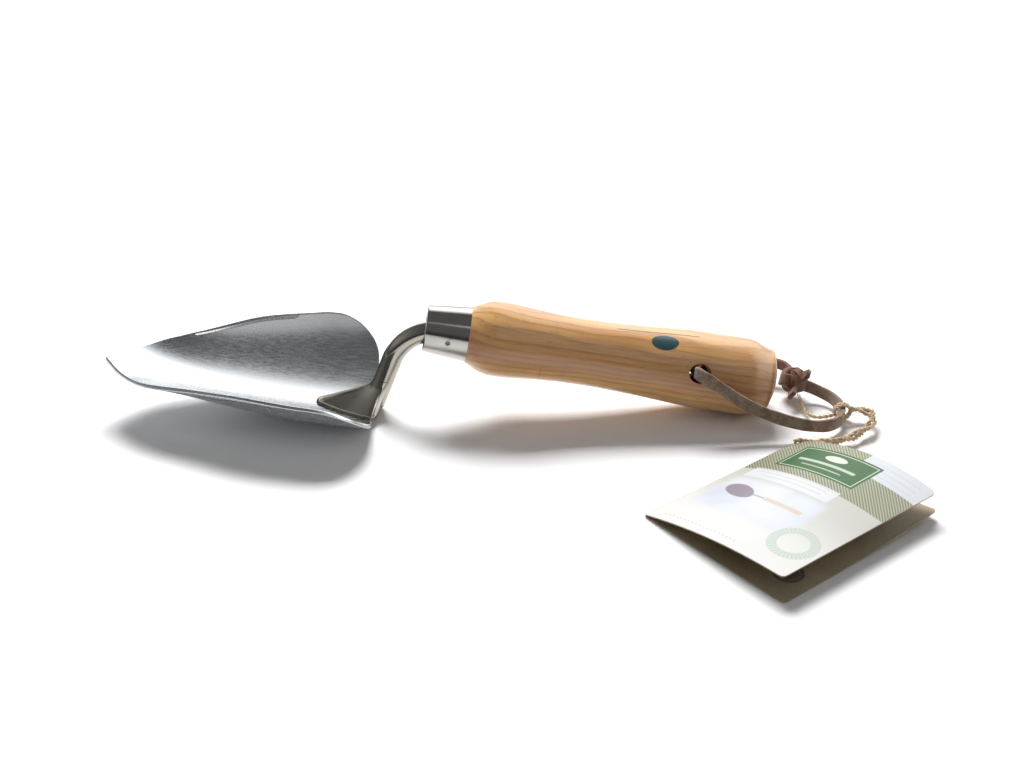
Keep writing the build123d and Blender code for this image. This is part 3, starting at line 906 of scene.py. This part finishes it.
def leaf_piece(name, height, width, body, material, notch):
    """A thin bowed sheet over the tag's plan, with a uv map in tenths of a metre."""
    columns, rows = 64, 72
    verts = []
    spots = []
    for layer in (0, 1):
        for r in range(rows + 1):
            v = TAG_LENGTH * r / rows
            for c in range(columns + 1):
                u, w = rounded(width * c / columns, v, width)
                if notch:
                    u, w = notched(u, w)
                z = height(u, w) + layer * CARD
                verts.append(TAG_CORNER + ACROSS * u + SPINE * w + Vector((0, 0, z)))
                spots.append((u / 100, w / 100))
    stride = columns + 1
    layer_size = stride * (rows + 1)
    faces = []
    for r in range(rows):
        for c in range(columns):
            a = r * stride + c
            faces.append((a, a + 1, a + stride + 1, a + stride))
            b = a + layer_size
            faces.append((b, b + stride, b + stride + 1, b + 1))
    edge = list(range(columns)) + [columns + r * stride for r in range(rows)]
    edge += [rows * stride + c for c in range(columns, 0, -1)] + [r * stride for r in range(rows, 0, -1)]
    for k, a in enumerate(edge):
        b = edge[(k + 1) % len(edge)]
        faces.append((b, a, a + layer_size, b + layer_size))
    piece = new_piece(name, verts, faces, body, material, smooth=False)
    layout = piece.data.uv_layers.new(name="plan")
    for loop in piece.data.loops:
        layout.data[loop.index].uv = spots[loop.vertex_index]
    return piece


def back_height(u, v):
    lift = max(0.0, (u / TAG_WIDTH - 0.45) / 0.55) * max(0.0, 1 - v / (0.8 * TAG_LENGTH))
    return 3.4 * lift * lift


def front_height(u, v):
    share = u / FREE_EDGE
    sag = LEAF_SAG * (1 - 0.62 * v / TAG_LENGTH)
    return FOLD_HEIGHT + LEAF_RISE * share + 4 * sag * share * (1 - share)


def build_tag():
    back = leaf_piece("tag_back", back_height, TAG_WIDTH, "tag", CARD_INSIDE, False)
    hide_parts("tag_back_leaf")
    front = leaf_piece("tag_front_face", front_height, FREE_EDGE, "tag_front", CARD_FRONT, True)
    front.data.materials.append(CARD_INSIDE)
    for face in front.data.polygons:
        if face.normal.z < 0.2:
            face.material_index = 1
    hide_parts("tag_front_leaf")
    # the fold itself, a narrow bent strip from leaf to leaf
    rings = []
    steps = 10
    for k in range(60):
        v = 5.2 + (TAG_LENGTH - 5.2) * k / 59
        arc = []
        for radius in (0.70, 0.25):
            order = range(steps + 1) if radius > 0.5 else reversed(range(steps + 1))
            for s in order:
                a = math.radians(-90 - 180 * s / steps)
                arc.append(TAG_CORNER + SPINE * v + ACROSS * (radius * math.cos(a) * 0.8 + 0.05)
                           + Vector((0, 0, 0.70 + radius * math.sin(a))))
        rings.append(arc)
    joined("tag_fold_strip", [rings], "tag_front", CARD_FRONT)


build_tag()

# ------------------------------------------------------------------ stage, light and camera
FLOOR_HALF = 6.0
FLOOR_DROP = 0.0001         # keeps the floor off the faces that rest on it
KEY_WATTS = 27.0
FILL_WATTS = 1.6
ROOM_LIGHT = 0.20           # what matt surfaces see of the room
LENS = 55.37
CAMERA_PLACE = (0.029, -0.5771, 0.3321)
CAMERA_DOWN = 29            # degrees


def build_floor():
    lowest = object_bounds()[0][2]
    mesh = bpy.data.meshes.new("floor")
    corners = [(x * FLOOR_HALF, y * FLOOR_HALF, 0) for x, y in ((-1, -1), (1, -1), (1, 1), (-1, 1))]
    mesh.from_pydata(corners, [], [(0, 1, 2, 3)])
    floor = bpy.data.objects.new("floor", mesh)
    floor.location.z = lowest - FLOOR_DROP
    bpy.context.scene.collection.objects.link(floor)
    s = Shade("floor")
    s.set(Base_Color=(0.93, 0.93, 0.935, 1), Roughness=0.9)
    s.bsdf.inputs["Specular IOR Level"].default_value = 0.1
    mesh.materials.append(s.mat)


def area(name, place, target, size, watts):
    data = bpy.data.lights.new(name, "AREA")
    data.shape = "RECTANGLE"
    data.size, data.size_y = size
    data.energy = watts
    lamp = bpy.data.objects.new(name, data)
    lamp.location = place
    lamp.rotation_euler = (Vector(target) - Vector(place)).to_track_quat("-Z", "Y").to_euler()
    bpy.context.scene.collection.objects.link(lamp)
    return lamp


def build_lamps():
    key = area("key", (-0.12, 0.75, 1.05), (0, 0, 0), (0.75, 0.45), KEY_WATTS)
    key.visible_glossy = False
    area("fill", (0.5, -0.9, 1.1), (0, 0, 0), (0.9, 0.9), FILL_WATTS)


def build_world():
    world = bpy.data.worlds.new("studio")
    world.use_nodes = True
    bpy.context.scene.world = world
    tree = world.node_tree
    tree.nodes.clear()

    def node(kind):
        return tree.nodes.new(kind)

    def calc(op, a, b=0.0):
        n = node("ShaderNodeMath")
        n.operation = op
        for socket, value in zip(n.inputs, (a, b)):
            if isinstance(value, bpy.types.NodeSocket):
                tree.links.new(value, socket)
            else:
                socket.default_value = value
        return n.outputs[0]

    where = node("ShaderNodeTexCoord")
    split = node("ShaderNodeSeparateXYZ")
    tree.links.new(where.outputs["Generated"], split.inputs[0])
    # behind the object the room is a bright wall; overhead and towards the camera it is dark
    wall = calc("SUBTRACT", split.outputs[1], calc("MULTIPLY", split.outputs[2], 0.66))
    wall = calc("ADD", wall, calc("MULTIPLY", calc("SUBTRACT", split.outputs[0], 0.12), 1.3))
    shade = node("ShaderNodeMapRange")
    shade.interpolation_type = "SMOOTHSTEP"
    tree.links.new(wall, shade.inputs[0])
    for k, value in ((1, -0.24), (2, 0.24), (3, 0.15), (4, 2.8)):
        shade.inputs[k].default_value = value
    side = calc("MULTIPLY", calc("POWER", calc("ABSOLUTE", split.outputs[0]), 4.0), 0.5)
    low_wall = node("ShaderNodeMapRange")
    low_wall.interpolation_type = "SMOOTHSTEP"
    tree.links.new(split.outputs[2], low_wall.inputs[0])
    for k, value in ((1, 0.04), (2, 0.42), (3, 0.22), (4, 1.0)):
        low_wall.inputs[k].default_value = value
    mirror = calc("MULTIPLY", calc("ADD", shade.outputs[0], side), low_wall.outputs[0])
    rays = node("ShaderNodeLightPath")
    pick = node("ShaderNodeMix")
    pick.data_type = "FLOAT"
    tree.links.new(rays.outputs["Is Glossy Ray"], pick.inputs[0])
    pick.inputs[2].default_value = ROOM_LIGHT
    tree.links.new(mirror, pick.inputs[3])
    sky = node("ShaderNodeBackground")
    tree.links.new(pick.outputs[0], sky.inputs["Strength"])
    sky.inputs["Color"].default_value = (1, 1, 1, 1)
    out = node("ShaderNodeOutputWorld")
    tree.links.new(sky.outputs[0], out.inputs[0])


def build_camera():
    data = bpy.data.cameras.new("camera")
    data.lens = LENS
    data.sensor_width = 36.0
    camera = bpy.data.objects.new("camera", data)
    camera.location = CAMERA_PLACE
    camera.rotation_euler = (math.radians(90 - CAMERA_DOWN), 0, 0)
    bpy.context.scene.collection.objects.link(camera)
    bpy.context.scene.camera = camera
    bpy.context.scene.view_settings.view_transform = "Standard"


build_floor()
build_lamps()
build_world()
build_camera()
